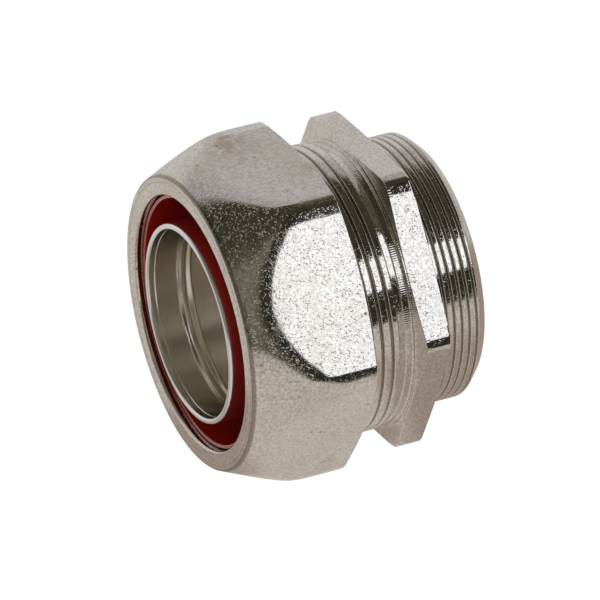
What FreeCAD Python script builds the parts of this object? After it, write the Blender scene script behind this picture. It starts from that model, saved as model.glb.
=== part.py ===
"""Liquid-tight conduit connector, M50 entry, for a 1 1/2 inch (DN 40) metal conduit.

The axis is X. The mouth that takes the conduit looks along -X, and the thread that goes through the
box wall points along +X. The origin is on the axis, in the rear face of the hexagon flange, which
seats on the box. The connector lies on a flat of its nut, with +Z up. Lengths are in millimetres and
angles in degrees.
"""
import FreeCAD, Part
import math
import os

os.makedirs("parts", exist_ok=True)

# Ferrule, the sleeve that the conduit slides over
FERRULE_R = 18.75
FERRULE_WALL = 1.2
FERRULE_STAND_OUT = 0.35
FOOT_THICK = 1.5
FOOT_CLEARANCE = 0.3
BEAD_DEPTH = 5.9
BEAD_WIDTH = 2.9
BEAD_HEIGHT = 0.45
BEAD_SLOPE = 0.9

# Sealing ring, round the conduit in the mouth of the nut
CONDUIT_GAP = 4.3
RING_SETBACK = 1.6
RING_BORE_LENGTH = 6.4
RING_GRIP_RISE = 0.55
RING_NOSE_WALL = 0.7
RING_BELT_RISE = 2.05
RING_BELT_LENGTH = 3.4
RING_BELT_STEP = 0.8
RING_CLEARANCE = 0.15

# Compression nut
NUT_LENGTH = 23.7
NUT_GAP = 9.15
NUT_WALL = 1.65
NUT_CORNER_R = 2.5
NUT_FACE_INSET = 0.45
NUT_CHAMFER_ANGLE = 15.0
LIP_WIDTH = 3.6
LIP_CHAMFER = 0.4
CONE_ANGLE = 23.5
MOUTH_CHAMFER = 0.5
MOUTH_DEPTH = 3.4
THREAD_CLEARANCE = 0.1

# Threaded spigot of the gland body, on the conduit side
SPIGOT_WALL = 2.0
SPIGOT_CHAMFER = 1.0
SEAT_TAPER_LENGTH = 6.0
SEAT_TAPER_DROP = 1.7
SOCKET_DEPTH = 12.5
NECK_LENGTH = 3.2
NECK_DEPTH = 0.4
NECK_BEVEL = 0.7

# Hexagon flange of the gland body
FLANGE_RISE = 0.5
FLANGE_THICK = 5.3
FLANGE_CORNER_R = 4.2
FLANGE_CHAMFER_ANGLE = 12.0
FLANGE_TURN = 2.6
FACE_RING_INSET = 0.1
FACE_RING_THICK = 0.4

# Entry thread of the gland body, on the box side
ENTRY_THREAD_R = 25.0
ENTRY_LENGTH = 10.35
ENTRY_CHAMFER = 1.9
WIRE_BORE_RISE = 1.25

# Travel of nut and ring until the ring reaches its seat, and the gap that is left there
TIGHTEN_TRAVEL = 4.0
SEAT_GAP = 1.0

# Radii, from the ferrule outwards
FERRULE_BORE_R = FERRULE_R - FERRULE_WALL
RING_BORE_R = FERRULE_R + CONDUIT_GAP
RING_GRIP_R = RING_BORE_R - RING_GRIP_RISE
RING_NOSE_R = RING_BORE_R + RING_NOSE_WALL
RING_BELT_R = RING_NOSE_R + RING_BELT_RISE
SEAT_MOUTH_R = RING_BELT_R - RING_BELT_STEP
SOCKET_R = SEAT_MOUTH_R - SEAT_TAPER_DROP
FOOT_R = SOCKET_R - FOOT_CLEARANCE
MOUTH_R = RING_NOSE_R + RING_CLEARANCE
POCKET_R = RING_BELT_R + RING_CLEARANCE
NOSE_R = MOUTH_R + LIP_WIDTH
SPIGOT_THREAD_R = SEAT_MOUTH_R + SPIGOT_WALL
NUT_THREAD_R = SPIGOT_THREAD_R + THREAD_CLEARANCE
NUT_AF = 2 * (NUT_THREAD_R + NUT_WALL)
FLANGE_AF = 2 * (SPIGOT_THREAD_R + FLANGE_RISE)
WIRE_BORE_R = FERRULE_R + WIRE_BORE_RISE

# Stations along the axis, from the box side to the mouth and back inside
FLANGE_FRONT = -FLANGE_THICK
NUT_BACK = FLANGE_FRONT - NUT_GAP
NUT_FRONT = NUT_BACK - NUT_LENGTH
FERRULE_FRONT = NUT_FRONT - FERRULE_STAND_OUT
SHOULDER_FRONT = NUT_FRONT + MOUTH_DEPTH
RING_FRONT = NUT_FRONT + RING_SETBACK
RING_BELT_FRONT = SHOULDER_FRONT + RING_CLEARANCE + RING_BELT_RISE
RING_BELT_BACK = RING_BELT_FRONT + RING_BELT_LENGTH
RING_BACK = RING_BELT_BACK + SEAT_TAPER_LENGTH
NUT_THREAD_FRONT = RING_BELT_BACK + SEAT_GAP / 2
SPIGOT_MOUTH = RING_BELT_BACK + SEAT_GAP + TIGHTEN_TRAVEL
FOOT_BACK = SPIGOT_MOUTH + SOCKET_DEPTH
FOOT_FRONT = FOOT_BACK - FOOT_THICK


def outline_wire(corners, place):
    """Closed wire through (u, v) corners. A corner may add "round" and a radius, or "chamfer" and a leg.

    place(u, v) gives a corner's point in space.
    """
    pieces = []
    for i, (u, v, *finish) in enumerate(corners):
        here = FreeCAD.Vector(u, v, 0)
        if not finish:
            pieces.append([here])
            continue
        kind, size = finish
        before = corners[i - 1]
        after = corners[(i + 1) % len(corners)]
        to_before = (FreeCAD.Vector(before[0], before[1], 0) - here).normalize()
        to_after = (FreeCAD.Vector(after[0], after[1], 0) - here).normalize()
        half = to_before.getAngle(to_after) / 2
        leg = size / math.tan(half) if kind == "round" else size
        piece = [here + to_before * leg, here + to_after * leg]
        if kind == "round":
            rise = size / math.sin(half) - size
            piece.insert(1, here + (to_before + to_after).normalize() * rise)
        pieces.append(piece)
    edges = []
    for i, piece in enumerate(pieces):
        points = [place(p.x, p.y) for p in piece]
        next_point = pieces[(i + 1) % len(pieces)][0]
        if len(points) == 3:
            edges.append(Part.Arc(*points).toShape())
        if len(points) == 2:
            edges.append(Part.makeLine(*points))
        edges.append(Part.makeLine(points[-1], place(next_point.x, next_point.y)))
    return Part.Wire(edges)


def turned(corners):
    """Ring turned about the X axis from a closed outline of (x, radius) corners."""
    wire = outline_wire(corners, lambda x, r: FreeCAD.Vector(x, 0, r))
    return Part.Face(wire).revolve(FreeCAD.Vector(0, 0, 0), FreeCAD.Vector(1, 0, 0), 360)


def hexagon_bar(across_flats, corner_r, start, length, turn=0.0):
    """Bar of hexagon section along X with rounded corners and, at turn 0, a flat underneath."""
    reach = across_flats / math.sqrt(3)
    corners = []
    for k in range(6):
        angle = math.radians(30 + 60 * k - turn)
        corners.append((reach * math.sin(angle), reach * math.cos(angle), "round", corner_r))
    wire = outline_wire(corners, lambda y, z: FreeCAD.Vector(start, y, z))
    return Part.Face(wire).extrude(FreeCAD.Vector(length, 0, 0))


def gland_body():
    """Spigot, neck, hexagon flange and entry thread in one, with a stepped bore for the ferrule."""
    flange_middle = FLANGE_FRONT / 2
    ring_front = FLANGE_FRONT - FACE_RING_THICK
    ring_r = FLANGE_AF / 2 - FACE_RING_INSET
    neck_front = ring_front - NECK_LENGTH
    neck_r = SPIGOT_THREAD_R - NECK_DEPTH
    outline = [
        (SPIGOT_MOUTH, SEAT_MOUTH_R),
        (SPIGOT_MOUTH, SPIGOT_THREAD_R - SPIGOT_CHAMFER),
        (SPIGOT_MOUTH + SPIGOT_CHAMFER, SPIGOT_THREAD_R),
        (neck_front, SPIGOT_THREAD_R),
        (neck_front + NECK_DEPTH, neck_r),
        (ring_front, neck_r, "chamfer", min(NECK_BEVEL, 0.9 * (ring_r - neck_r))),
        (ring_front, ring_r),
        (flange_middle, ring_r),
        (flange_middle, ENTRY_THREAD_R),
        (ENTRY_LENGTH - ENTRY_CHAMFER, ENTRY_THREAD_R),
        (ENTRY_LENGTH, ENTRY_THREAD_R - ENTRY_CHAMFER),
        (ENTRY_LENGTH, WIRE_BORE_R),
        (FOOT_BACK, WIRE_BORE_R),
        (FOOT_BACK, SOCKET_R),
        (SPIGOT_MOUTH + SEAT_TAPER_LENGTH, SOCKET_R),
    ]
    hole_r = (WIRE_BORE_R + ENTRY_THREAD_R) / 2
    beyond = FLANGE_AF / math.sqrt(3)
    setback = (beyond - ring_r) * math.tan(math.radians(FLANGE_CHAMFER_ANGLE))
    blank = [
        (FLANGE_FRONT, hole_r),
        (FLANGE_FRONT, ring_r),
        (FLANGE_FRONT + setback, beyond),
        (0, beyond),
        (0, hole_r),
    ]
    bar = hexagon_bar(FLANGE_AF, FLANGE_CORNER_R, FLANGE_FRONT, FLANGE_THICK, FLANGE_TURN)
    return turned(outline).fuse(turned(blank).common(bar)).removeSplitter()


def compression_nut():
    """Hexagon nut with a long cone towards the mouth, a pocket for the ring and the thread bore."""
    beyond = NUT_AF / math.sqrt(3)
    face_r = NUT_AF / 2 - NUT_FACE_INSET
    setback = (beyond - face_r) * math.tan(math.radians(NUT_CHAMFER_ANGLE))
    cone_length = (beyond - NOSE_R) / math.tan(math.radians(CONE_ANGLE))
    outline = [
        (NUT_FRONT, MOUTH_R, "chamfer", MOUTH_CHAMFER),
        (NUT_FRONT, NOSE_R, "chamfer", LIP_CHAMFER),
        (NUT_FRONT + cone_length, beyond),
        (NUT_BACK - setback, beyond),
        (NUT_BACK, face_r),
        (NUT_BACK, NUT_THREAD_R),
        (NUT_THREAD_FRONT, NUT_THREAD_R),
        (NUT_THREAD_FRONT, POCKET_R),
        (SHOULDER_FRONT + POCKET_R - MOUTH_R, POCKET_R),
        (SHOULDER_FRONT, MOUTH_R),
    ]
    bar = hexagon_bar(NUT_AF, NUT_CORNER_R, NUT_FRONT, NUT_LENGTH)
    return turned(outline).common(bar).removeSplitter()


def sealing_ring():
    """Plastic ring: thin nose in the mouth, belt behind the nut's shoulder and a tapered rear end."""
    outline = [
        (RING_FRONT, RING_BORE_R),
        (RING_FRONT, RING_NOSE_R),
        (SHOULDER_FRONT + RING_CLEARANCE, RING_NOSE_R),
        (RING_BELT_FRONT, RING_BELT_R),
        (RING_BELT_BACK, RING_BELT_R),
        (RING_BELT_BACK, SEAT_MOUTH_R),
        (RING_BACK, SOCKET_R),
        (RING_BACK, RING_GRIP_R),
        (RING_FRONT + RING_BORE_LENGTH, RING_BORE_R),
    ]
    return turned(outline)


def ferrule():
    """Thin sleeve with a rolled bead behind its rim and a foot that stands in the body."""
    rim_chamfer = 0.35 * FERRULE_WALL
    bead_front = FERRULE_FRONT + BEAD_DEPTH
    bead_back = bead_front + BEAD_WIDTH
    bead = [
        (bead_front, 0),
        (bead_front + BEAD_SLOPE, BEAD_HEIGHT),
        (bead_back - BEAD_SLOPE, BEAD_HEIGHT),
        (bead_back, 0),
    ]
    outline = [(FERRULE_FRONT, FERRULE_R, "chamfer", rim_chamfer)]
    outline += [(x, FERRULE_R + rise) for x, rise in bead]
    outline += [
        (FOOT_FRONT, FERRULE_R),
        (FOOT_FRONT, FOOT_R),
        (FOOT_BACK, FOOT_R),
        (FOOT_BACK, FERRULE_BORE_R),
    ]
    outline += [(x, FERRULE_BORE_R + rise) for x, rise in reversed(bead)]
    outline += [(FERRULE_FRONT, FERRULE_BORE_R)]
    return turned(outline)


NODES = {
    "gland_body": gland_body(),
    "compression_nut": compression_nut(),
    "sealing_ring": sealing_ring(),
    "ferrule": ferrule(),
}
for name, shape in NODES.items():
    shape.exportStep("parts/" + name + ".step")
    print(name, shape.isValid(), len(shape.Solids), round(shape.Volume, 1), shape.BoundBox)
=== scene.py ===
# %% [markdown]
# # Conduit connector
# A nickel-plated brass connector that fixes the end of a metal conduit to a box. Its pieces are turned on a lathe, so
# each one here is an outline that is carried round the X axis. The model from CAD gives the places and the moving
# bodies; this script gives the looks. All lengths are typed in millimetres and become metres where Blender needs
# them.

# %% Load the frame
import bpy
import math
from mathutils import Matrix, Vector


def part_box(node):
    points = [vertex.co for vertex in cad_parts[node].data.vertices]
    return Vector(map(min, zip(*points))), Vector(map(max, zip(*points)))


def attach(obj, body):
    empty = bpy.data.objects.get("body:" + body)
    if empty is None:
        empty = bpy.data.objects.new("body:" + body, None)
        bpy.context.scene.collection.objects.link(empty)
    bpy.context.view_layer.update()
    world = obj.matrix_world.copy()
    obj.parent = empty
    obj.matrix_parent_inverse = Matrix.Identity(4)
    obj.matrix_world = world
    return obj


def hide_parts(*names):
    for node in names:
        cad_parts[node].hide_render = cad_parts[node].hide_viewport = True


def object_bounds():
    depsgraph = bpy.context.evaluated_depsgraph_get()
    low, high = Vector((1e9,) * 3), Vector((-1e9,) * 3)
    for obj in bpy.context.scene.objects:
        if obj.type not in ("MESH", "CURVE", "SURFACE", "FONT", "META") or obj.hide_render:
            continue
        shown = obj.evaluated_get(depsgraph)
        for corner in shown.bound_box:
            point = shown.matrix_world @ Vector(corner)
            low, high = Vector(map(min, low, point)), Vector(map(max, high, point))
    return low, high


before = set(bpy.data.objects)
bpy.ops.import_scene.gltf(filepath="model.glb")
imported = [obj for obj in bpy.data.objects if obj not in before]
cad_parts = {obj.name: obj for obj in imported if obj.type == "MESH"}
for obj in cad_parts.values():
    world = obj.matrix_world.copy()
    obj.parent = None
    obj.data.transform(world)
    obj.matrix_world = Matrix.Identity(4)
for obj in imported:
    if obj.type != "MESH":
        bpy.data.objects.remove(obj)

MM = 0.001
cad_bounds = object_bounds()
nut_low, nut_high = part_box("compression_nut")
body_low, body_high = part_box("gland_body")
NUT_FRONT, NUT_BACK = nut_low.x / MM, nut_high.x / MM
SPIGOT_MOUTH, ENTRY_END = body_low.x / MM, body_high.x / MM
print("nut from x = %.2f to %.2f mm, body from x = %.2f to %.2f mm"
      % (NUT_FRONT, NUT_BACK, SPIGOT_MOUTH, ENTRY_END))

# %% [markdown]
# ## Camera
# The photographer stood to the left of the mouth and looked down by about 30 degrees, from far away with a long
# lens: the edges of the nut hardly converge. Azimuth, elevation and roll turn the camera, and the lens sets the size.

# %% Camera
AZIMUTH, ELEVATION, ROLL = (math.radians(a) for a in (-24.594, 30.551, -1.233))
AIM, DISTANCE = (-15.83, 0.0, -0.94), 1411.6
LENS, SENSOR = 463.94, 36.0
back = Vector((math.sin(AZIMUTH) * math.cos(ELEVATION), -math.cos(AZIMUTH) * math.cos(ELEVATION),
               math.sin(ELEVATION)))
level = Vector((math.cos(AZIMUTH), math.sin(AZIMUTH), 0.0))
right = level * math.cos(ROLL) + back.cross(level) * math.sin(ROLL)
up = back.cross(right)
camera_data = bpy.data.cameras.new("camera")
camera_data.sensor_width = SENSOR
camera_data.lens = LENS
camera_data.clip_start = 0.1
camera_data.clip_end = 20.0
camera = bpy.data.objects.new("camera", camera_data)
turn = Matrix((right, up, back)).transposed().to_4x4()
camera.matrix_world = Matrix.Translation(Vector(AIM) * MM + back * DISTANCE * MM) @ turn
bpy.context.scene.collection.objects.link(camera)
bpy.context.scene.camera = camera
bpy.context.scene.view_settings.view_transform = "Standard"
print("camera at", [round(v, 3) for v in camera.location])

# %% [markdown]
# ## Formulas in node trees
# Both the shapes and the finishes are formulas. A node tree writes a formula as boxes and wires, which is hard to
# read in a script, so `Field` lets a socket be used in a sum like a number. Each operation adds one Math node.

# %% A socket that works like a number
class Field:
    """A socket of a node tree. It stands on the left in a sum: field * 2, and not 2 * field."""

    def __init__(self, tree, socket):
        self.tree = tree
        self.socket = socket

    def math(self, operation, *others):
        node = self.tree.nodes.new("ShaderNodeMath")
        node.operation = operation
        for slot, value in zip(node.inputs, (self,) + others):
            if isinstance(value, Field):
                self.tree.links.new(value.socket, slot)
            else:
                slot.default_value = value
        return Field(self.tree, node.outputs[0])

    def __add__(self, other):
        return self.math("ADD", other)

    def __sub__(self, other):
        return self.math("SUBTRACT", other)

    def __mul__(self, other):
        return self.math("MULTIPLY", other)

    def __truediv__(self, other):
        return self.math("DIVIDE", other)


# %% Soft steps
def smooth_step(value, low, high):
    """0 at low, 1 at high and a soft curve between them; with low above high it falls."""
    node = value.tree.nodes.new("ShaderNodeMapRange")
    node.interpolation_type = "SMOOTHSTEP"
    for name, given in (("Value", value), ("From Min", low), ("From Max", high)):
        if isinstance(given, Field):
            value.tree.links.new(given.socket, node.inputs[name])
        else:
            node.inputs[name].default_value = given
    return Field(value.tree, node.outputs["Result"])


def between(value, low, high, soft):
    """1 from low to high, with soft ends outside."""
    return smooth_step(value, low - soft, low) * smooth_step(value, high + soft, high)


# %% [markdown]
# ## The turning tree
# A lathe carries an outline round an axis. The tree lays a grid whose rows are the outline's points and whose
# columns are turns round X. Where an outline point has a hexagon share, its radius follows a hexagon with rounded
# corners instead, which is how the wrench flats are milled onto the turned blank. A soft minimum of cone and hexagon
# gives the edge between them, which tumbling and plating have rounded. Tumbling also wears the flats down a little
# near each corner, over a wider strip on one side of it than on the other. Columns crowd together at the corners,
# where the shape turns.

# %% Beginning and end of a geometry tree
def new_tree(name, inputs):
    """Geometry tree with a Geometry input, the named inputs and a Geometry output."""
    tree = bpy.data.node_groups.new(name, "GeometryNodeTree")
    tree.interface.new_socket("Geometry", in_out="OUTPUT", socket_type="NodeSocketGeometry")
    tree.interface.new_socket("Geometry", in_out="INPUT", socket_type="NodeSocketGeometry")
    for label, kind in inputs:
        tree.interface.new_socket(label, in_out="INPUT", socket_type="NodeSocket" + kind)
    given = tree.nodes.new("NodeGroupInput")
    return tree, given, {label: Field(tree, given.outputs[label]) for label, kind in inputs if kind != "Material"}


def finish_tree(tree, given, geometry):
    """Smooth shading, real geometry and the material, as the last nodes of a tree."""
    smooth = tree.nodes.new("GeometryNodeSetShadeSmooth")
    real = tree.nodes.new("GeometryNodeRealizeInstances")
    paint = tree.nodes.new("GeometryNodeSetMaterial")
    out = tree.nodes.new("NodeGroupOutput")
    tree.links.new(geometry, smooth.inputs["Geometry"])
    tree.links.new(smooth.outputs["Geometry"], real.inputs["Geometry"])
    tree.links.new(real.outputs["Geometry"], paint.inputs["Geometry"])
    tree.links.new(given.outputs["Material"], paint.inputs["Material"])
    tree.links.new(paint.outputs["Geometry"], out.inputs["Geometry"])


# %% Turned piece with optional hexagon
HALF_SIDE = math.pi / 6  # angle from the middle of a hexagon's side to its corner
WORN_BEFORE, WORN_AFTER, WEAR_CURVE = math.radians(3.5), math.radians(4.9), 1.15
SEAM = 0.001  # the first and the last column lie on each other and are welded


def hexagon_radius(size, past_corner):
    """Radius of the worn hexagon at an angle from its nearest corner."""
    off_corner = past_corner.math("ABSOLUTE")
    flat_r = size["Across Flats"] / 2
    on_flat = flat_r / (off_corner * -1 + HALF_SIDE).math("COSINE")
    reach = (flat_r - size["Corner Radius"]) / math.cos(HALF_SIDE)
    across = reach * off_corner.math("SINE")
    chord = (size["Corner Radius"] * size["Corner Radius"] - across * across).math("MAXIMUM", 0.0).math("SQRT")
    on_corner = reach * off_corner.math("COSINE") + chord
    ends = (size["Corner Radius"] / 2).math("ARCTAN2", reach + size["Corner Radius"] * math.cos(HALF_SIDE))
    worn = past_corner.math("GREATER_THAN", 0.0) * (WORN_AFTER - WORN_BEFORE) + WORN_BEFORE
    near_corner = (off_corner / worn * -1 + 1).math("MAXIMUM", 0.0)
    sharp = on_flat + (on_corner - on_flat) * off_corner.math("LESS_THAN", ends)
    return sharp - near_corner.math("POWER", WEAR_CURVE) * size["Corner Wear"]


def turned_piece_tree():
    tree, given, size = new_tree("turned_piece", [
        ("Columns", "Int"), ("Across Flats", "Float"), ("Corner Radius", "Float"), ("Hexagon Turn", "Float"),
        ("Corner Wear", "Float"), ("Crowding", "Float"), ("Material", "Material")])
    nodes, links = tree.nodes, tree.links

    counter = nodes.new("GeometryNodeAttributeDomainSize")
    counter.component = "MESH"
    links.new(given.outputs["Geometry"], counter.inputs["Geometry"])
    count = Field(tree, counter.outputs["Point Count"])
    grid = nodes.new("GeometryNodeMeshGrid")
    links.new((size["Columns"] + 1).socket, grid.inputs["Vertices X"])
    links.new((count + 1).socket, grid.inputs["Vertices Y"])
    index = Field(tree, nodes.new("GeometryNodeInputIndex").outputs["Index"])
    # the grid counts its vertices down one column after the other
    column = ((index + 0.5) / (count + 1)).math("FLOOR")
    row = (index - column * (count + 1)).math("ROUND").math("MODULO", count)

    def from_outline(source, kind, output):
        sample = nodes.new("GeometryNodeSampleIndex")
        sample.data_type = kind
        links.new(given.outputs["Geometry"], sample.inputs["Geometry"])
        links.new(source, sample.inputs["Value"])
        links.new(row.socket, sample.inputs["Index"])
        return sample.outputs[output]

    place = nodes.new("ShaderNodeSeparateXYZ")
    links.new(from_outline(nodes.new("GeometryNodeInputPosition").outputs[0], "FLOAT_VECTOR", 0), place.inputs[0])
    along, limit, radius = (Field(tree, place.outputs[axis]) for axis in "XYZ")
    stored = {}
    for name in ("hexagon_share", "edge_blend"):
        attribute = nodes.new("GeometryNodeInputNamedAttribute")
        attribute.data_type = "FLOAT"
        attribute.inputs["Name"].default_value = name
        stored[name] = Field(tree, from_outline(attribute.outputs["Attribute"], "FLOAT", 0))

    # a sine makes the steps from column to column smaller near the corners
    corner = size["Hexagon Turn"] + HALF_SIDE
    even = column / size["Columns"] * (2 * math.pi)
    angle = even - ((even - corner) * 6).math("SINE") * size["Crowding"] / 6
    past_corner = (angle - corner + HALF_SIDE).math("FLOORED_MODULO", 2 * HALF_SIDE) - HALF_SIDE
    milled_r = limit.math("SMOOTH_MIN", hexagon_radius(size, past_corner), stored["edge_blend"])
    final = radius + (milled_r - radius) * stored["hexagon_share"]

    point = nodes.new("ShaderNodeCombineXYZ")
    links.new(along.socket, point.inputs["X"])
    links.new((final * angle.math("SINE") * -1).socket, point.inputs["Y"])
    links.new((final * angle.math("COSINE")).socket, point.inputs["Z"])
    move = nodes.new("GeometryNodeSetPosition")
    links.new(grid.outputs["Mesh"], move.inputs["Geometry"])
    links.new(point.outputs[0], move.inputs["Position"])
    weld = nodes.new("GeometryNodeMergeByDistance")
    weld.inputs["Distance"].default_value = SEAM * MM
    links.new(move.outputs["Geometry"], weld.inputs["Geometry"])
    finish_tree(tree, given, weld.outputs["Geometry"])
    return tree


turned_piece = turned_piece_tree()
print("turning tree:", len(turned_piece.nodes), "nodes")

# %% [markdown]
# ## The thread tree
# A screw thread is a groove that advances by one pitch in each turn. The tree looks at how far each vertex is from the
# middle of the groove and lowers it from the crest to the root. The crests of these threads are broad and a little
# crowned, and the grooves narrow, because plating fills them. Vertices that are lower already, such as those of the
# lead-in chamfer, stay where they are, so the thread runs out over the chamfer as a cut one does.

# %% Screw thread
CROWN_SHARE = 0.06


def screw_thread_tree():
    tree, given, size = new_tree("screw_thread", [
        ("Start", "Float"), ("End", "Float"), ("Pitch", "Float"), ("Depth", "Float"), ("Crest Radius", "Float"),
        ("Groove Width", "Float"), ("Groove At Top", "Float"), ("Run Out", "Float"), ("Material", "Material")])
    nodes, links = tree.nodes, tree.links
    place = nodes.new("ShaderNodeSeparateXYZ")
    links.new(nodes.new("GeometryNodeInputPosition").outputs[0], place.inputs[0])
    x, y, z = (Field(tree, place.outputs[axis]) for axis in "XYZ")
    radius = (y * y + z * z).math("SQRT")
    angle = (y * -1).math("ARCTAN2", z)
    in_turn = ((x - size["Groove At Top"]) / size["Pitch"] - angle / (2 * math.pi)).math("FRACT")
    off_groove = (in_turn - 0.5).math("ABSOLUTE") * -1 + 0.5
    half_width = size["Groove Width"] / size["Pitch"] / 2
    groove = smooth_step(off_groove, half_width * 0.1, half_width) * -1 + 1
    off_crest = (off_groove * -1 + 0.5) * 2
    crown = off_crest * off_crest * size["Depth"] * CROWN_SHARE
    fade_in = smooth_step(x, size["Start"], size["Start"] + size["Run Out"])
    fade_out = smooth_step(x * -1, size["End"] * -1, size["End"] * -1 + size["Run Out"])
    cut = size["Crest Radius"] - (size["Depth"] * groove + crown) * fade_in * fade_out
    inside = x.math("GREATER_THAN", size["Start"]) * x.math("LESS_THAN", size["End"])
    lower = radius.math("MINIMUM", cut) / radius
    scale = (lower - 1) * inside + 1
    point = nodes.new("ShaderNodeCombineXYZ")
    links.new(x.socket, point.inputs["X"])
    links.new((y * scale).socket, point.inputs["Y"])
    links.new((z * scale).socket, point.inputs["Z"])
    move = nodes.new("GeometryNodeSetPosition")
    links.new(given.outputs["Geometry"], move.inputs["Geometry"])
    links.new(point.outputs[0], move.inputs["Position"])
    finish_tree(tree, given, move.outputs["Geometry"])
    return tree


screw_thread = screw_thread_tree()
print("thread tree:", len(screw_thread.nodes), "nodes")

# %% [markdown]
# ## Outlines
# An outline is a closed list of corners, as on a turner's drawing: place along the axis, radius, the rounding of the
# corner and the largest step of the run to the next corner. Small roundings matter, because they are what catches the
# light on an edge. Each run has a point close to both of its ends, so that smooth shading keeps it straight.

# %% Outlines
ROUNDING_PARTS, SUPPORT = 6, 0.12


def outline(corners, closed=True):
    """(x, r) points in mm through corners of (x, r, rounding, step)."""
    pieces = []
    for i, (x, r, rounding, step) in enumerate(corners):
        here = Vector((x, r))
        if rounding == 0:
            pieces.append([here])
            continue
        to_last = (Vector(corners[i - 1][:2]) - here).normalized()
        to_next = (Vector(corners[(i + 1) % len(corners)][:2]) - here).normalized()
        half = to_last.angle(to_next) / 2
        centre = here + (to_last + to_next).normalized() * (rounding / math.sin(half))
        start = here + to_last * (rounding / math.tan(half)) - centre
        end = here + to_next * (rounding / math.tan(half)) - centre
        shares = [k / ROUNDING_PARTS for k in range(ROUNDING_PARTS + 1)]
        pieces.append([centre + (start * (1 - share) + end * share).normalized() * rounding for share in shares])
    points = []
    for i, piece in enumerate(pieces):
        points += [(p.x, p.y) for p in piece]
        if not closed and i == len(pieces) - 1:
            break
        run = pieces[(i + 1) % len(pieces)][0] - piece[-1]
        support = min(SUPPORT, run.length / 4)
        inner = run.length - 2 * support
        count = max(1, math.ceil(inner / corners[i][3]))
        for k in range(count + 1):
            p = piece[-1] + run.normalized() * (support + inner * k / count)
            points.append((p.x, p.y))
    return points


washer = outline([(0, 5, 0.2, 1), (2, 5, 0.2, 1), (2, 9, 0.2, 1), (0, 9, 0.2, 1)])
print("for example, a washer's outline has", len(washer), "points")

# %% Rows
def turned(points):
    """Rows of (x, r, limit, hexagon share, edge blend) for points that keep their radius."""
    return [(x, r, r, 0.0, 0.0) for x, r in points]


def milled(start, end, step, limit, blend):
    """Rows of a wrench hexagon from start to end; limit gives the turned radius at a place."""
    count = max(1, math.ceil((end - start) / step))
    places = [start + (end - start) * k / count for k in range(count + 1)]
    return [(x, limit(x), limit(x), 1.0, blend) for x in places]


def end_face(x, inner, limit, blend):
    """Rows of a flat end of a hexagon; the share falls from the turned edge to the bore."""
    return [(x, inner, limit, share, blend) for share in (0.97, 0.7, 0.4, 0.1)]


print("for example, 10 mm of wrench flats in steps of 2 mm have", len(milled(0, 10, 2, lambda x: 20, 0.5)), "rows")


# %% [markdown]
# ## From rows to a mesh
# A small mesh holds one vertex for each row: x, limit and radius are its three coordinates, and hexagon share and edge
# blend are stored with it. The trees work on it as modifiers and give the whole piece. Its result is then copied as a
# plain mesh, and the maker is deleted, so nothing in the scene depends on a modifier.

# %% Piece maker
CM3 = 1e-6


def signed_volume(mesh):
    """Volume inside a closed mesh; below zero where its faces look inward."""
    mesh.calc_loop_triangles()
    corners = ([mesh.vertices[v].co for v in triangle.vertices] for triangle in mesh.loop_triangles)
    return sum(a.dot(b.cross(c)) for a, b, c in corners) / 6


def make_piece(name, rows, columns, material, hexagon=(0, 0, 0, 0), crowding=0.0, threads=()):
    """Mesh object from rows; hexagon is (across flats, corner radius, turn in degrees, wear)."""
    seed = bpy.data.meshes.new(name + "_outline")
    count = len(rows)
    seed.from_pydata([(x * MM, limit * MM, r * MM) for x, r, limit, share, blend in rows],
                     [(i, (i + 1) % count) for i in range(count)], [])
    for label, place, scale in (("hexagon_share", 3, 1.0), ("edge_blend", 4, MM)):
        attribute = seed.attributes.new(label, "FLOAT", "POINT")
        attribute.data.foreach_set("value", [row[place] * scale for row in rows])
    maker = bpy.data.objects.new(name + "_maker", seed)
    bpy.context.scene.collection.objects.link(maker)
    flats, corner_r, turn_deg, wear = hexagon
    steps = [(turned_piece, {"Columns": columns, "Across Flats": flats * MM, "Corner Radius": corner_r * MM,
                             "Hexagon Turn": math.radians(turn_deg), "Corner Wear": wear * MM,
                             "Crowding": crowding, "Material": material})]
    for sizes in threads:
        steps.append((screw_thread, {"Material": material, **{label: size * MM for label, size in sizes.items()}}))
    for tree, values in steps:
        modifier = maker.modifiers.new(tree.name, "NODES")
        modifier.node_group = tree
        for socket in tree.interface.items_tree:
            if socket.in_out == "INPUT" and socket.name in values:
                modifier[socket.identifier] = values[socket.name]
    graph = bpy.context.evaluated_depsgraph_get()
    mesh = bpy.data.meshes.new_from_object(maker.evaluated_get(graph))
    bpy.data.objects.remove(maker)
    mesh.name = name
    volume = signed_volume(mesh)
    if volume < 0:
        mesh.flip_normals()
    piece = bpy.data.objects.new(name, mesh)
    bpy.context.scene.collection.objects.link(piece)
    print("%s: %d vertices, %d triangles, %.2f cm3"
          % (name, len(mesh.vertices), len(mesh.loop_triangles), abs(volume) / CM3))
    return piece


# %% [markdown]
# ## Finishes
# A finish is a Principled shader whose colour, roughness and bump follow textures. The textures read Object
# coordinates, which stay with the piece when it moves. Each texture is laid out in a box whose sides are typed in
# millimetres, so its size can be compared with the real thing, and all heights are millimetres too.

# %% Finish helpers
def new_material(name):
    material = bpy.data.materials.new(name)
    material.use_nodes = True
    tree = material.node_tree
    shader = tree.nodes["Principled BSDF"]
    spot = tree.nodes.new("ShaderNodeTexCoord").outputs["Object"]
    return material, tree, shader, spot


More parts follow.
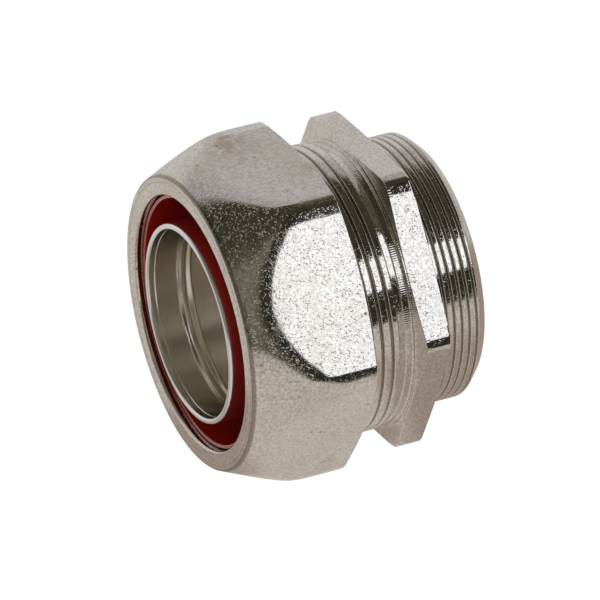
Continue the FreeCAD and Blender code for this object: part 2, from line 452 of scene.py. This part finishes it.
def stretch(tree, spot, size, rotation=(0, 0, 0), start=(0, 0, 0)):
    """Object coordinates in units of a turned box whose sides are given in mm."""
    mapping = tree.nodes.new("ShaderNodeMapping")
    mapping.vector_type = "TEXTURE"
    tree.links.new(spot, mapping.inputs["Vector"])
    mapping.inputs["Scale"].default_value = [side * MM for side in size]
    mapping.inputs["Rotation"].default_value = [math.radians(a) for a in rotation]
    mapping.inputs["Location"].default_value = [place * MM for place in start]
    return mapping.outputs["Vector"]


def noise(tree, spot, size, detail=2.0, roughness=0.5, distortion=0.0, start=(0, 0, 0)):
    """Cloudy noise whose lumps are about size mm wide; size is a number or three sides."""
    sides = size if isinstance(size, tuple) else (size, size, size)
    node = tree.nodes.new("ShaderNodeTexNoise")
    tree.links.new(stretch(tree, spot, sides, start=start), node.inputs["Vector"])
    for name, value in (("Scale", 1.0), ("Detail", detail), ("Roughness", roughness), ("Distortion", distortion)):
        node.inputs[name].default_value = value
    return Field(tree, node.outputs[0])


def dots(tree, spot, size, radius, rotation=(0, 0, 0), start=(0, 0, 0)):
    """1 in the middle of scattered dots, one in each box of size mm; radius is a share of the box."""
    node = tree.nodes.new("ShaderNodeTexVoronoi")
    node.inputs["Scale"].default_value = 1.0
    tree.links.new(stretch(tree, spot, size, rotation, start), node.inputs["Vector"])
    return smooth_step(Field(tree, node.outputs["Distance"]), radius, 0.0)


def blend_colors(tree, factor, first, second):
    """Mix of two colours; each is a socket or a tuple."""
    node = tree.nodes.new("ShaderNodeMix")
    node.data_type = "RGBA"
    tree.links.new(factor.socket, node.inputs["Factor"])
    for slot, color in ((node.inputs[6], first), (node.inputs[7], second)):
        if isinstance(color, tuple):
            slot.default_value = color + (1.0,)
        else:
            tree.links.new(color, slot)
    return node.outputs[2]


def cylinder_places(tree, spot):
    """Place along the axis, radius and angle from the top, in mm and radians."""
    parts = tree.nodes.new("ShaderNodeSeparateXYZ")
    tree.links.new(spot, parts.inputs[0])
    x, y, z = (Field(tree, parts.outputs[axis]) * (1 / MM) for axis in "XYZ")
    return x, (y * y + z * z).math("SQRT"), (y * -1).math("ARCTAN2", z)


def plug_in(tree, shader, metallic, color, roughness, height):
    """Joins a finish to its shader; the height in mm becomes a bump."""
    shader.inputs["Metallic"].default_value = metallic
    tree.links.new(color, shader.inputs["Base Color"])
    tree.links.new(roughness.socket, shader.inputs["Roughness"])
    bump = tree.nodes.new("ShaderNodeBump")
    bump.inputs["Distance"].default_value = MM
    tree.links.new(height.socket, bump.inputs["Height"])
    tree.links.new(bump.outputs["Normal"], shader.inputs["Normal"])


# %% [markdown]
# ## Nickel plating
# Nickel over machined brass is a slightly warm metal, and nearly a mirror. What makes it look real is how the mirror
# is spoilt. Tumbling in a drum leaves a fine grain of about 0.4 mm, small dents and short scratches, and it cannot
# reach well into grooves and inner corners. Handling adds stains and a few dark specks. Edges that rub are worn
# rougher and get a painted highlight, and the roots of grooves and rings on the nut's lip get painted shade. Each of
# these is a pattern of its own, and colour, roughness and height add up what they need from all of them.

# %% Scratches and stains
SHORT_TURNS = [(20, 0, 35), (-40, 25, -20), (65, -30, 80), (5, 60, 140)]
LONG_TURNS = [(30, 10, 60), (-25, 40, 5), (70, 20, -50)]
STAIN_R, STAIN_CORE_R = 8.0, 1.0


def scratches(tree, spot, length, width, turns):
    """Straight scratches in several directions: dots in long, turned boxes."""
    total = None
    for k, rotation in enumerate(turns):
        lines = dots(tree, spot, (length * 2, width * 2, width * 2), 0.25, rotation, (k * 3.1, k * 1.7, 0))
        total = lines if total is None else total.math("MAXIMUM", lines)
    return total


def nickel_scratches(tree, spot):
    """Short scratches in some places and long ones in others, deeper here and weaker there."""
    short = scratches(tree, spot, 1.3, 0.22, SHORT_TURNS)
    long = scratches(tree, spot, 2.8, 0.24, LONG_TURNS)
    where = noise(tree, spot, 5.0, 2.0, start=(1.0, 2.0, 3.0))
    uneven = smooth_step(noise(tree, spot, 1.1, 1.0, start=(5.0, 0.0, 2.0)), 0.3, 0.65) * 0.8 + 0.2
    short, long = short * smooth_step(where, 0.3, 0.54), long * smooth_step(where, 0.6, 0.4)
    return short.math("MAXIMUM", long) * uneven


def stain_at(tree, spot, place):
    """A ragged stain round a place given in mm."""
    away = tree.nodes.new("ShaderNodeVectorMath")
    away.operation = "DISTANCE"
    tree.links.new(spot, away.inputs[0])
    away.inputs[1].default_value = [side * MM for side in place]
    near = smooth_step(Field(tree, away.outputs["Value"]) * (1 / MM), STAIN_R, STAIN_CORE_R)
    return near * smooth_step(noise(tree, spot, 2.4, 3.0, 0.6), 0.3, 0.65)


print("scratches in %d directions" % (len(SHORT_TURNS) + len(LONG_TURNS)))

# %% Nickel
DARK_NICKEL, BRIGHT_NICKEL = (0.54, 0.505, 0.475), (0.86, 0.83, 0.795)
YELLOWED, BROWN, NEARLY_BLACK = (0.62, 0.58, 0.44), (0.46, 0.33, 0.23), (0.10, 0.08, 0.06)
# colours of the painted shade and of the painted highlight
PAINTED_SHADE, PAINTED_HIGHLIGHT = (0.22, 0.18, 0.13), (0.9, 0.86, 0.8)
POLISHED = 0.045
LEAST_GRAIN = 0.15
GRAIN_H, DENT_H, SCRATCH_H, FAINT_SCRATCH_H, WAVE_H = 0.02, 0.018, 0.1, 0.004, 0.02


def nickel(name, stain_amount, calm, highlights_and_shade, tool_marks=None, stain_spot=None):
    """Tumbled nickel. calm(x, r) is 1 where the drum left the least grain, and the next function, of x, r and angle,
    gives how much a spot is a worn edge with a painted highlight and how much it gets painted shade.
    tool_marks(x, r, angle) adds a height in mm, and stain_spot is the place of one more stain."""
    material, tree, shader, spot = new_material(name)
    x, r, angle = cylinder_places(tree, spot)
    clouds = noise(tree, spot, 14.0, 3.0, 0.6)
    haze = noise(tree, spot, 1.6, 3.0, 0.6)
    grain = noise(tree, spot, 0.42, 2.0, 0.6)
    waves = noise(tree, spot, 3.0, 1.0)
    dents = dots(tree, spot, (0.5, 0.5, 0.5), 0.26) * smooth_step(haze, 0.35, 0.6)
    bright_grain = smooth_step(noise(tree, spot, 0.5, 1.0, start=(3.0, 1.0, 5.0)), 0.3, 0.7)
    lines = nickel_scratches(tree, spot)
    stains = smooth_step(noise(tree, spot, 9.0, 4.0, 0.65, 0.6), 0.6, 0.76) * stain_amount
    if stain_spot is not None:
        stains = stains + stain_at(tree, spot, stain_spot)
    tarnish = smooth_step(noise(tree, spot, 11.0, 2.0, 0.5, 0.0, (4.0, 9.0, 2.0)), 0.5, 0.7) * stain_amount
    specks = dots(tree, spot, (4.2, 4.2, 4.2), 0.1, start=(0.7, 0.1, 0.4)) * stain_amount
    tumbled = calm(x, r) * (LEAST_GRAIN - 1) + 1
    # a worn edge is rougher and gets a painted highlight; painted shade darkens grooves' roots and rings on the nut's
    # lip
    wear_and_highlight, painted_shade_mask = highlights_and_shade(x, r, angle)

    color = blend_colors(tree, clouds * 0.35 + bright_grain * 0.65, DARK_NICKEL, BRIGHT_NICKEL)
    # the last two blends paint shade and a highlight into the colour
    for amount, tint in ((tarnish * 0.3, YELLOWED), (stains * 0.6, BROWN), (specks * 0.8, NEARLY_BLACK),
                         (painted_shade_mask * 0.75, PAINTED_SHADE), (wear_and_highlight * 0.8, PAINTED_HIGHLIGHT)):
        color = blend_colors(tree, amount, color, tint)
    roughness = haze * 0.06 + lines * 0.12 + stains * 0.2 + specks * 0.4 + POLISHED + wear_and_highlight * 0.5 + painted_shade_mask * 0.1
    height = (grain * GRAIN_H - dents * DENT_H - lines * SCRATCH_H) * tumbled
    height = height + waves * WAVE_H - lines * FAINT_SCRATCH_H
    if tool_marks is not None:
        height = height + tool_marks(x, r, angle)
    plug_in(tree, shader, 1.0, color, roughness, height)
    print("%s: %d nodes" % (name, len(tree.nodes)))
    return material


# %% [markdown]
# ## Compression nut
# The nut squeezes the sealing ring onto the conduit. It starts as a turned blank with a long cone towards the mouth,
# and six flats are milled onto its back. The lip round the mouth is flat, with one fine line left by the tool. The
# flats are less beaten than the cone. The tool's line on the lip is worn rougher and has a painted highlight, and
# painted shade darkens a ring beside it and the lip's outer rounding.

# %% Sizes of the nut
SHOULDER = NUT_FRONT + 3.4
NUT_AF, NOSE_R, NUT_THREAD_R, FACE_R = 57.5, 27.5, 27.1, 28.3
MOUTH_R, BELT_ROOM_R, TOOL_LINE_R = 23.9, 25.95, 26.3
CONE = math.tan(math.radians(23.5))
BACK_CHAMFER = math.tan(math.radians(15))
CONE_START = NUT_FRONT + 0.7
NUT_THREAD_START, LEAD_IN = NUT_FRONT + 9.5, 0.35
CHAMFER_START = NUT_BACK - 1.35
LIP_BACK = NUT_FRONT + 0.9
STAIN_ON_TOP = (-25.3, 9.6, 28.7)


def cone_radius(x):
    """Radius of the cone at a place, which may be a number or a Field."""
    return (x - NUT_FRONT) * CONE + NOSE_R


print("cone from x = %.2f mm, with a radius of %.2f mm" % (CONE_START, cone_radius(CONE_START)))


# %% Plating of the nut
def nut_lip_highlight_and_shade(x, r, angle):
    """The tool's line on the lip, worn rougher and with a painted highlight, and painted shade beside it and at the
    outer rounding.
    """
    on_lip = smooth_step(x, LIP_BACK, LIP_BACK - 0.2)
    # painted highlight: a lighter line of colour along the tool's line, which is also rougher
    wear_and_highlight = between(r, TOOL_LINE_R - 0.03, TOOL_LINE_R + 0.03, 0.08)
    # painted shade: a darker ring beside the tool's line and at the lip's outer rounding
    painted_shade_mask = between(r, TOOL_LINE_R + 0.12, TOOL_LINE_R + 0.16, 0.06) + between(r, NOSE_R - 0.15, NOSE_R + 0.2, 0.15)
    return on_lip * wear_and_highlight, on_lip * painted_shade_mask


def nut_calm(x, r):
    """1 on the flats, which lie below the cone."""
    return smooth_step(cone_radius(x) - r, 0.3, 1.2)


nut_nickel = nickel("nickel_nut", 1.0, nut_calm, nut_lip_highlight_and_shade, stain_spot=STAIN_ON_TOP)

# %% Compression nut
nut_rows = turned(outline([
    (NUT_BACK, NUT_THREAD_R + LEAD_IN, 0, 0.2),
    (NUT_BACK, NUT_THREAD_R, 0.3, 3.0),
    (NUT_THREAD_START, NUT_THREAD_R, 0, 0.6),
    (NUT_THREAD_START, BELT_ROOM_R, 0, 3.0),
    (SHOULDER + 2.05, BELT_ROOM_R, 0, 1.0),
    (SHOULDER, MOUTH_R, 0.1, 1.0),
    (NUT_FRONT, MOUTH_R, 0.65, 0.4),
    (NUT_FRONT, TOOL_LINE_R - 0.08, 0.05, 0.1),
    (NUT_FRONT + 0.07, TOOL_LINE_R, 0.03, 0.1),
    (NUT_FRONT, TOOL_LINE_R + 0.08, 0.05, 0.3),
    (NUT_FRONT, NOSE_R, 0.55, 0.3),
    (CONE_START, cone_radius(CONE_START), 0, 0.3)], closed=False))
nut_rows += milled(CONE_START + 0.2, CHAMFER_START, 0.22, cone_radius, 2.3)
nut_rows += milled(CHAMFER_START + 0.1, NUT_BACK - 0.05, 0.1, lambda x: FACE_R + (NUT_BACK - x) / BACK_CHAMFER, 0.5)
nut_rows += end_face(NUT_BACK, NUT_THREAD_R + LEAD_IN, FACE_R, 0.5)
nut = make_piece("nut_detail", nut_rows, 400, nut_nickel, hexagon=(NUT_AF, 0.5, 0.0, 0.58), crowding=0.7)
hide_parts("compression_nut")
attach(nut, "nut")

# %% [markdown]
# ## Sealing ring
# The ring is moulded in red nylon. Only its thin nose shows in the mouth; the belt behind the nut's shoulder and the
# tapered end that is pressed into the body are inside. Nylon lets a little light in below its skin, and the polished
# mould gives it a gloss, which the shader's coat adds on top.

# %% Red nylon
def red_nylon():
    material, tree, shader, spot = new_material("red_nylon")
    clouds = noise(tree, spot, 11.0)
    fine = noise(tree, spot, 0.6)
    color = blend_colors(tree, clouds, (0.46, 0.012, 0.008), (0.62, 0.02, 0.012))
    for name, value in (("Coat Weight", 1.0), ("Coat Roughness", 0.2), ("Coat IOR", 1.75),
                        ("Subsurface Weight", 0.08), ("Subsurface Radius", (0.002, 0.0004, 0.0004)),
                        ("Subsurface Scale", 0.5)):
        shader.inputs[name].default_value = value
    plug_in(tree, shader, 0.0, color, clouds * 0.1 + fine * 0.08 + 0.16, fine * 0.004)
    print("red_nylon: %d nodes" % len(tree.nodes))
    return material


ring_red = red_nylon()

# %% Sealing ring
RING_FRONT = NUT_FRONT + 1.6
BELT_FRONT, BELT_BACK = SHOULDER + 2.2, SHOULDER + 5.6
TAPER_END = BELT_BACK + 6.0
RING_BORE_R, RING_NOSE_R, BELT_R = 23.05, 23.75, 25.8
TAPER_R, TAPER_END_R, TAPER_BORE_R = 25.0, 23.3, 22.5
ring_rows = turned(outline([
    (RING_FRONT, RING_BORE_R, 0.24, 0.15),
    (RING_FRONT, RING_NOSE_R, 0.24, 0.4),
    (SHOULDER + 0.15, RING_NOSE_R, 0.1, 0.8),
    (BELT_FRONT, BELT_R, 0.15, 0.8),
    (BELT_BACK, BELT_R, 0.15, 0.4),
    (BELT_BACK, TAPER_R, 0.1, 0.8),
    (TAPER_END, TAPER_END_R, 0.15, 0.4),
    (TAPER_END, TAPER_BORE_R, 0.15, 0.8),
    (RING_FRONT + 6.4, RING_BORE_R, 0.3, 0.8)]))
ring = make_piece("sealing_ring_detail", ring_rows, 256, ring_red)
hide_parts("sealing_ring")
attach(ring, "ring")

# %% [markdown]
# ## Ferrule
# The ferrule is a thin drawn sleeve. The conduit slides over it, and a bead rolled into its wall keeps the conduit
# from slipping off. The same bead shows as a groove inside, because the wall has one thickness. It isn't tumbled, so
# it keeps fine rings from drawing and turning. Its rounded rim has a painted reflection: its colour is whiter and
# bluer than the bore's.

# %% Plating of the ferrule
FERRULE_FRONT = NUT_FRONT - 0.35
RIM_BACK = FERRULE_FRONT + 0.95


def bright_plating():
    material, tree, shader, spot = new_material("ferrule_plating")
    clouds = noise(tree, spot, 12.0, 3.0, 0.6)
    fine = noise(tree, spot, 0.5, 2.0)
    rings = noise(tree, spot, (0.35, 30.0, 30.0), 2.0, 0.6)
    x, _, _ = cylinder_places(tree, spot)
    # painted reflection: the rounded rim is coloured whiter and a little blue
    rim_reflection_paint = smooth_step(x, RIM_BACK, RIM_BACK - 0.4)
    color = blend_colors(tree, clouds, (0.74, 0.71, 0.62), (0.84, 0.81, 0.72))
    color = blend_colors(tree, rim_reflection_paint, color, (0.88, 0.9, 0.92))
    roughness = clouds * 0.06 + fine * 0.05 + rings * 0.06 + 0.13
    plug_in(tree, shader, 1.0, color, roughness, rings * 0.002 + fine * 0.0008)
    print("ferrule_plating: %d nodes" % len(tree.nodes))
    return material


ferrule_plating = bright_plating()

# %% Ferrule
FOOT_BACK = SHOULDER + 23.1
FOOT_FRONT = FOOT_BACK - 1.5
OUTER_R, BORE_R, FOOT_R = 18.75, 17.55, 23.0
RIM_BORE_R = BORE_R + 0.1
BEAD_MIDDLE, BEAD_HALF, BEAD_HEIGHT, BEAD_TOP = FERRULE_FRONT + 7.35, 1.45, 0.45, 0.3


def bead(x):
    """How far the wall is pressed outward at a place: a flat top, and soft sides down to the sleeve."""
    off_middle = min(1.0, abs(x - BEAD_MIDDLE) / BEAD_HALF)
    slope = max(0.0, (off_middle - BEAD_TOP) / (1.0 - BEAD_TOP))
    return BEAD_HEIGHT * (0.5 + 0.5 * math.cos(math.pi * slope))


sleeve = outline([
    (FERRULE_FRONT, RIM_BORE_R, 0.5, 0.2),
    (FERRULE_FRONT, OUTER_R, 0.55, 0.25),
    (FOOT_FRONT, OUTER_R, 0.4, 0.5),
    (FOOT_FRONT, FOOT_R, 0.2, 0.8),
    (FOOT_BACK, FOOT_R, 0.2, 0.8),
    (FOOT_BACK, BORE_R, 0.5, 0.25),
    (FERRULE_FRONT + 1.6, BORE_R, 0, 0.1),
    (FERRULE_FRONT + 1.45, RIM_BORE_R, 0, 0.25)])
ferrule_rows = turned([(x, r + bead(x)) for x, r in sleeve])
ferrule = make_piece("ferrule_detail", ferrule_rows, 256, ferrule_plating)
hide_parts("ferrule")
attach(ferrule, "fixed")

# %% [markdown]
# ## Gland body
# The body is one turned and milled piece: the spigot that the nut screws onto, a neck, a thin face ring, the hexagon
# flange that is held with a wrench, and the entry thread that goes through the box wall. Both threads are cut after
# turning, so they run over the chamfers at their ends. The drum hardly marks this piece: its threads keep the stones
# away. The facing tool has chattered beside the flange. The threads' groove edges are worn rougher and have a painted
# highlight, and their roots have painted shade.

# %% Sizes of the body
FLANGE_FRONT, RING_FACE = SPIGOT_MOUTH + 18.85, SPIGOT_MOUTH + 18.45
FLANGE_AF, SPIGOT_R, ENTRY_R, WIRE_BORE_R, RING_R = 55.0, 27.0, 25.0, 20.0, 27.4
SOCKET_R, SEAT_R, REAR_FACE_R = 23.3, 25.0, 27.2
NECK_R, NECK_BACK_R, COLLAR_R = 26.7, 26.45, 26.62
THREAD_END = RING_FACE - 3.0
SPIGOT_CHAMFER, ENTRY_CHAMFER, SEAT_LENGTH = 1.0, 1.9, 6.0
FRONT_CHAMFER = math.tan(math.radians(4.5))
NO_LIMIT = 60.0
REAR_START, REAR_RUN, REAR_R, REAR_DROP = -0.2, 0.18, 31.2, 3.8
SPIGOT_THREAD = {"Start": SPIGOT_MOUTH - 0.5, "End": THREAD_END, "Pitch": 2.0, "Depth": 0.42,
                 "Crest Radius": SPIGOT_R, "Groove Width": 0.8, "Groove At Top": -12.4, "Run Out": 0.35}
ENTRY_THREAD = {"Start": 0.0, "End": ENTRY_END + 1.0, "Pitch": 1.5, "Depth": 0.36,
                "Crest Radius": ENTRY_R, "Groove Width": 0.62, "Groove At Top": 3.05, "Run Out": 0.5}
print("flange %.2f mm thick, spigot thread to x = %.2f mm" % (-FLANGE_FRONT, THREAD_END))

# %% Plating of the body
CHATTER_MARKS, CHATTER_HEIGHT = 400.0, 0.005
WORN_AND_SHADED_THREADS = [(SPIGOT_THREAD, SPIGOT_MOUTH, THREAD_END, 0.7), (ENTRY_THREAD, 0.3, ENTRY_END - 0.3, 0.55)]


def body_calm(x, r):
    """1 on threads and neck, and a little less on the flange."""
    return smooth_step(r, RING_R + 0.3, RING_R) * 0.05 + 0.95


def thread_highlights_and_shade(x, r, angle):
    """Worn, rougher edges with a painted highlight, and painted shade in the roots, of both threads' grooves."""
    edge_wear_and_highlight, root_shade_mask = x * 0, x * 0
    for thread, low, high, width in WORN_AND_SHADED_THREADS:
        crest = thread["Crest Radius"]
        in_turn = ((x - thread["Groove At Top"]) / thread["Pitch"] - angle / (2 * math.pi)).math("FRACT")
        off_groove = ((in_turn - 0.5).math("ABSOLUTE") * -1 + 0.5) * thread["Pitch"]
        inside = between(x, low, high, 0.1) * between(r, crest - 0.5, crest, 0.1)
        # painted highlight: the groove's edges are coloured lighter, and made rougher as worn
        edge_wear_and_highlight = edge_wear_and_highlight + between(off_groove, width / 2 - 0.03, width / 2 + 0.03, 0.06) * inside
        # painted shade: the groove's root is coloured darker
        root_shade_mask = root_shade_mask + smooth_step(off_groove, width / 2, width / 4) * inside
    return edge_wear_and_highlight, root_shade_mask


def body_marks(x, r, angle):
    """Chatter of the facing tool beside the flange, and fine rings on the flange's front face."""
    beside = between(x, RING_FACE - 1.5, FLANGE_FRONT + 0.9, 0.2)
    rings = ((r * 41.0).math("SINE") + (r * 17.0).math("SINE")) * 0.0006
    return ((angle * CHATTER_MARKS).math("SINE") * CHATTER_HEIGHT + rings) * beside


body_nickel = nickel("nickel_body", 0.4, body_calm, thread_highlights_and_shade, tool_marks=body_marks)

# %% Gland body
HIDDEN, FINE = 0.17, 0.1
body_rows = turned(outline([
    (FOOT_BACK, SOCKET_R, 0, 1.5),
    (SPIGOT_MOUTH + SEAT_LENGTH, SOCKET_R, 0, 1.5),
    (SPIGOT_MOUTH, SEAT_R, 0.2, 0.4),
    (SPIGOT_MOUTH, SPIGOT_R - SPIGOT_CHAMFER, 0, HIDDEN),
    (SPIGOT_MOUTH + SPIGOT_CHAMFER, SPIGOT_R, 0, HIDDEN),
    (NUT_BACK - 1.5, SPIGOT_R, 0, FINE),
    (THREAD_END, SPIGOT_R, 0.1, 0.1),
    (THREAD_END + 0.3, NECK_R, 0.1, 0.25),
    (RING_FACE - 1.5, NECK_BACK_R, 0.15, 0.1),
    (RING_FACE - 1.4, COLLAR_R, 0.1, 0.3),
    (RING_FACE, COLLAR_R, 0.3, 0.1),
    (RING_FACE, RING_R, 0.1, 0.1),
    (FLANGE_FRONT, RING_R, 0, 0.1)], closed=False))
body_rows += milled(FLANGE_FRONT + 0.02, FLANGE_FRONT + 0.45, 0.03,
                    lambda x: RING_R + (x - FLANGE_FRONT) / FRONT_CHAMFER, 0.35)
body_rows += milled(FLANGE_FRONT + 0.6, REAR_START, 0.4, lambda x: NO_LIMIT, 0.35)
body_rows += milled(REAR_START + 0.05, -0.02, 0.045,
                    lambda x: REAR_R - (x - REAR_START) / REAR_RUN * REAR_DROP, 0.5)
body_rows += end_face(0.0, ENTRY_R, REAR_FACE_R, 0.5)
body_rows += turned(outline([
    (0.0, ENTRY_R, 0, FINE),
    (ENTRY_END - ENTRY_CHAMFER, ENTRY_R, 0, 0.12),
    (ENTRY_END, ENTRY_R - ENTRY_CHAMFER, 0.1, 0.8),
    (ENTRY_END, WIRE_BORE_R, 0.25, 3.0),
    (FOOT_BACK, WIRE_BORE_R, 0, 1.0)], closed=False))
body = make_piece("gland_body_detail", body_rows, 224, body_nickel, hexagon=(FLANGE_AF, 0.6, -3.0, 0.5),
                  crowding=0.5, threads=[SPIGOT_THREAD, ENTRY_THREAD])
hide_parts("gland_body")
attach(body, "fixed")

# %% [markdown]
# ## Light
# A polished object shows the room more than itself, so the light is built around the reflections: a large soft box
# at the front right, a pale backdrop behind, a dark ceiling and a pale table below. The world gives each direction
# its brightness. The camera itself sees plain white instead, as in a catalogue picture.

# %% White for the camera
PAPER_WHITE = 1.05


def white_for_camera(tree, kind, glow, surface):
    """The camera sees white, and every reflection sees the glow."""
    white = tree.nodes.new(kind)
    white.inputs["Color"].default_value = (1.0, 1.0, 1.0, 1.0)
    white.inputs["Strength"].default_value = PAPER_WHITE
    seen = tree.nodes.new("ShaderNodeLightPath")
    choose = tree.nodes.new("ShaderNodeMixShader")
    tree.links.new(seen.outputs["Is Camera Ray"], choose.inputs[0])
    tree.links.new(glow.outputs[0], choose.inputs[1])
    tree.links.new(white.outputs[0], choose.inputs[2])
    tree.links.new(choose.outputs[0], surface)


# %% World
BOX_AZIMUTH, BOX_HEIGHT, BOX_LIGHT = (18.5, 72.0), (20.2, 42.0), 1.31


def room():
    """Brightness by direction, in degrees: height above the horizon, and azimuth from -Y towards +X."""
    world = bpy.data.worlds.new("studio")
    world.use_nodes = True
    bpy.context.scene.world = world
    tree = world.node_tree
    direction = tree.nodes.new("ShaderNodeSeparateXYZ")
    tree.links.new(tree.nodes.new("ShaderNodeTexCoord").outputs["Generated"], direction.inputs[0])
    x, y, z = (Field(tree, direction.outputs[axis]) for axis in "XYZ")
    height = z.math("ARCSINE") * (180 / math.pi)
    azimuth = x.math("ARCTAN2", y * -1) * (180 / math.pi)
    # behind: a pale backdrop that is brightest low down and ends below a dark ceiling
    behind = smooth_step(azimuth.math("ABSOLUTE"), 95.0, 135.0)
    backdrop = smooth_step(height, 57.0, 46.0) * 0.42 + smooth_step(height, 36.0, 20.0) * 0.2 + 0.05
    # in front: dark walls, a little lighter on the left, with a bright strip along the floor there
    left = between(height, 22.0, 48.0, 12.0) * 0.08 + smooth_step(height, 68.0, 50.0) * 0.07 + 0.055
    left = left + smooth_step(height, 3.5, 1.0) * 0.4
    right = smooth_step(height, 66.0, 50.0) * -0.02 + 0.055
    front = left + (right - left) * smooth_step(azimuth, -12.0, 8.0)
    base = front + (backdrop - front) * behind
    # the soft box shines on the right and replaces the wall; dim places are warmer than bright ones
    box = between(azimuth, *BOX_AZIMUTH, 1.5) * between(height, *BOX_HEIGHT, 1.2)
    light = base + (base * -1 + BOX_LIGHT) * box
    warm = blend_colors(tree, smooth_step(light, 0.05, 0.5), (1.0, 0.93, 0.62), (1.0, 0.97, 0.955))
    warm = blend_colors(tree, box, warm, (0.965, 1.0, 1.03))
    shine = tree.nodes["Background"]
    tree.links.new(warm, shine.inputs["Color"])
    tree.links.new(light.socket, shine.inputs["Strength"])
    white_for_camera(tree, "ShaderNodeBackground", shine, tree.nodes["World Output"].inputs["Surface"])
    return world


studio = room()
print("world:", len(studio.node_tree.nodes), "nodes, soft box of %.0f by %.0f degrees"
      % (BOX_AZIMUTH[1] - BOX_AZIMUTH[0], BOX_HEIGHT[1] - BOX_HEIGHT[0]))

# %% [markdown]
# ## Floor
# The floor is a pale table top at the height of the nut's lowest flat. Where the part keeps the light off, it is
# darker: under the entry thread, under the neck and in front of the mouth. Only the reflections show that.

# %% Floor
TABLE_LIGHT, TABLE_SHADE = (0.62, 0.575, 0.53), (0.40, 0.335, 0.29)
HALF_WIDTH = 0.42


def table_top():
    """Glow of the table by place in mm: along the connector's axis, and away from it."""
    material = bpy.data.materials.new("table_top")
    material.use_nodes = True
    tree = material.node_tree
    glow = tree.nodes.new("ShaderNodeEmission")
    along, away, _ = cylinder_places(tree, tree.nodes.new("ShaderNodeTexCoord").outputs["Object"])
    near = smooth_step(away, 95.0, 45.0)
    gap = smooth_step(along, -14.0, -9.0) * smooth_step(away, 33.0, 30.0)
    mouth = smooth_step(along, -29.0, -35.0) * smooth_step(away, 38.0, 30.0)
    shade = (smooth_step(along, -7.0, 3.0).math("MAXIMUM", gap) + mouth) * near
    tree.links.new(blend_colors(tree, shade, TABLE_LIGHT, TABLE_SHADE), glow.inputs["Color"])
    white_for_camera(tree, "ShaderNodeEmission", glow, tree.nodes["Material Output"].inputs["Surface"])
    return material


floor_z = cad_bounds[0][2]
floor_mesh = bpy.data.meshes.new("floor")
corners = [(x * HALF_WIDTH, y * HALF_WIDTH, floor_z) for x, y in ((-1, -1), (1, -1), (1, 1), (-1, 1))]
floor_mesh.from_pydata(corners, [], [(0, 1, 2, 3)])
floor_mesh.materials.append(table_top())
floor = bpy.data.objects.new("floor", floor_mesh)
bpy.context.scene.collection.objects.link(floor)
print("floor %.2f m wide at z = %.2f mm" % (2 * HALF_WIDTH, floor_z / MM))
